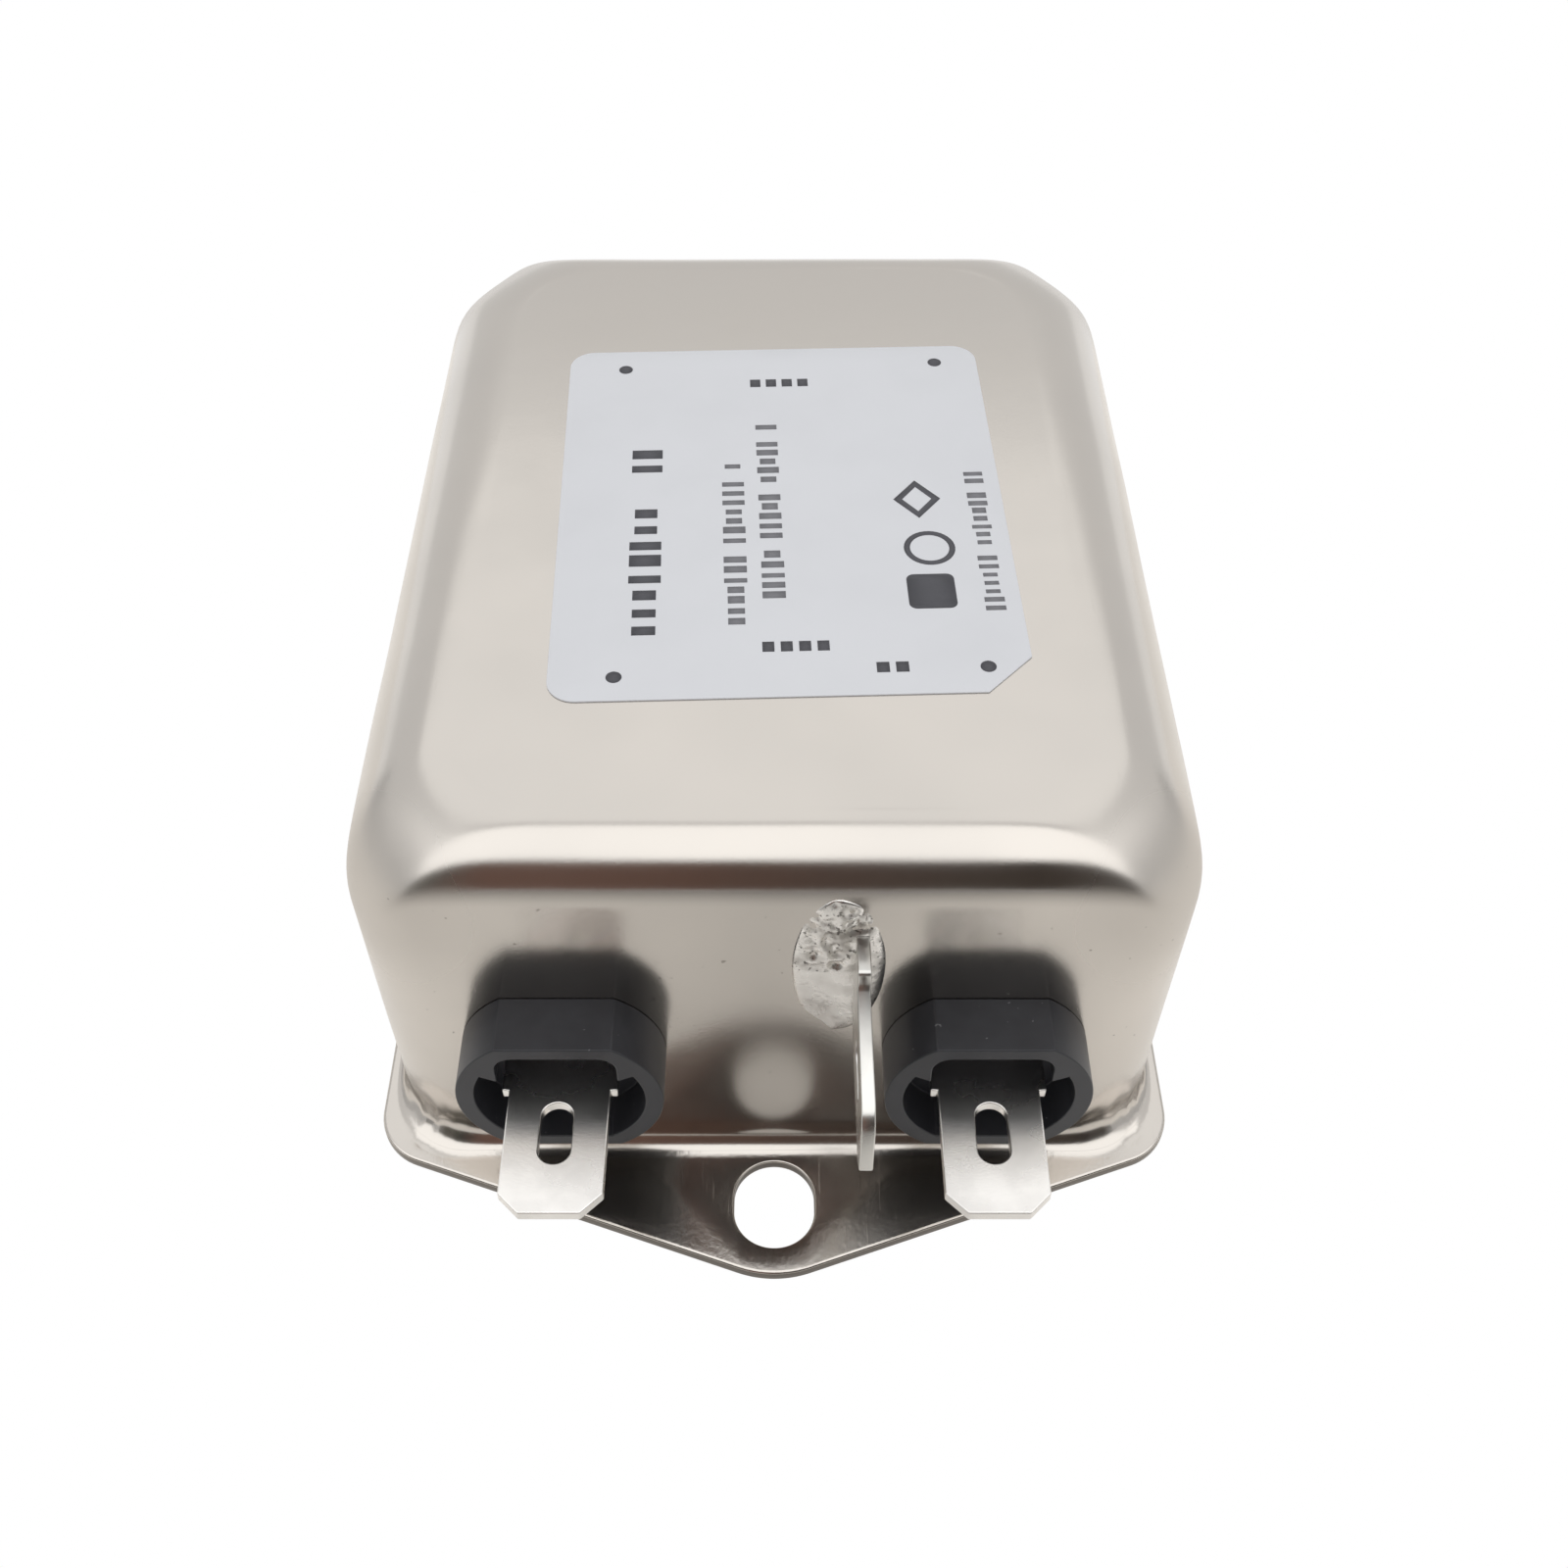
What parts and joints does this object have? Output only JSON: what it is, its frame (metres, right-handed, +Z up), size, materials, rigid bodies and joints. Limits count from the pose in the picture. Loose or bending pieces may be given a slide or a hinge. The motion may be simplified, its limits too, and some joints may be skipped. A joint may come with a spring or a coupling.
{
  "type": "emi line filter",
  "caption": "Chassis-mount mains line filter: drawn steel can with a slotted mounting flange, flat blade terminals in moulded bushings at both ends and an earth blade.",
  "frame": {"origin": "centre of the mounting face, at the middle of the can, where it stands on the chassis", "axes": "+Z up out of the mounting face, -Y towards the line end with the earth blade, +Y towards the load end, +X across the can"},
  "size_m": [0.054, 0.0888, 0.0304],
  "materials": {
    "can_steel": "satin tin plate, more mirror-like on the walls",
    "base_steel": "satin",
    "resin": "cast",
    "polyester_sheet": "film",
    "label_film": "satin film",
    "bushing_plastic": "moulded",
    "tinned_brass": "tin plated",
    "earth_steel": "tin plated",
    "weld_metal": "pitted",
    "ferrite": "matt",
    "divider_plastic": "moulded",
    "copper_wire": "enamelled",
    "x_capacitor_case": "moulded",
    "y_capacitor_coat": "dipped",
    "resistor_coat": "dipped"
  },
  "bodies": {
    "root": {"can": "can_steel", "base_plate": "base_steel", "potting_resin": "resin", "insulating_sheet": "polyester_sheet", "label": "label_film", "line_bushing_left": "bushing_plastic", "line_bushing_right": "bushing_plastic", "load_bushing_left": "bushing_plastic", "load_bushing_right": "bushing_plastic", "line_tab_left": "tinned_brass", "line_tab_right": "tinned_brass", "load_tab_left": "tinned_brass", "load_tab_right": "tinned_brass", "earth_tab": "earth_steel", "earth_weld": "weld_metal", "choke_core": "ferrite", "choke_divider": "divider_plastic", "winding_left": "copper_wire", "winding_right": "copper_wire", "x_capacitor": "x_capacitor_case", "y_capacitor_left": "y_capacitor_coat", "y_capacitor_right": "y_capacitor_coat", "bleed_resistor": "resistor_coat"}
  },
  "joints": []
}
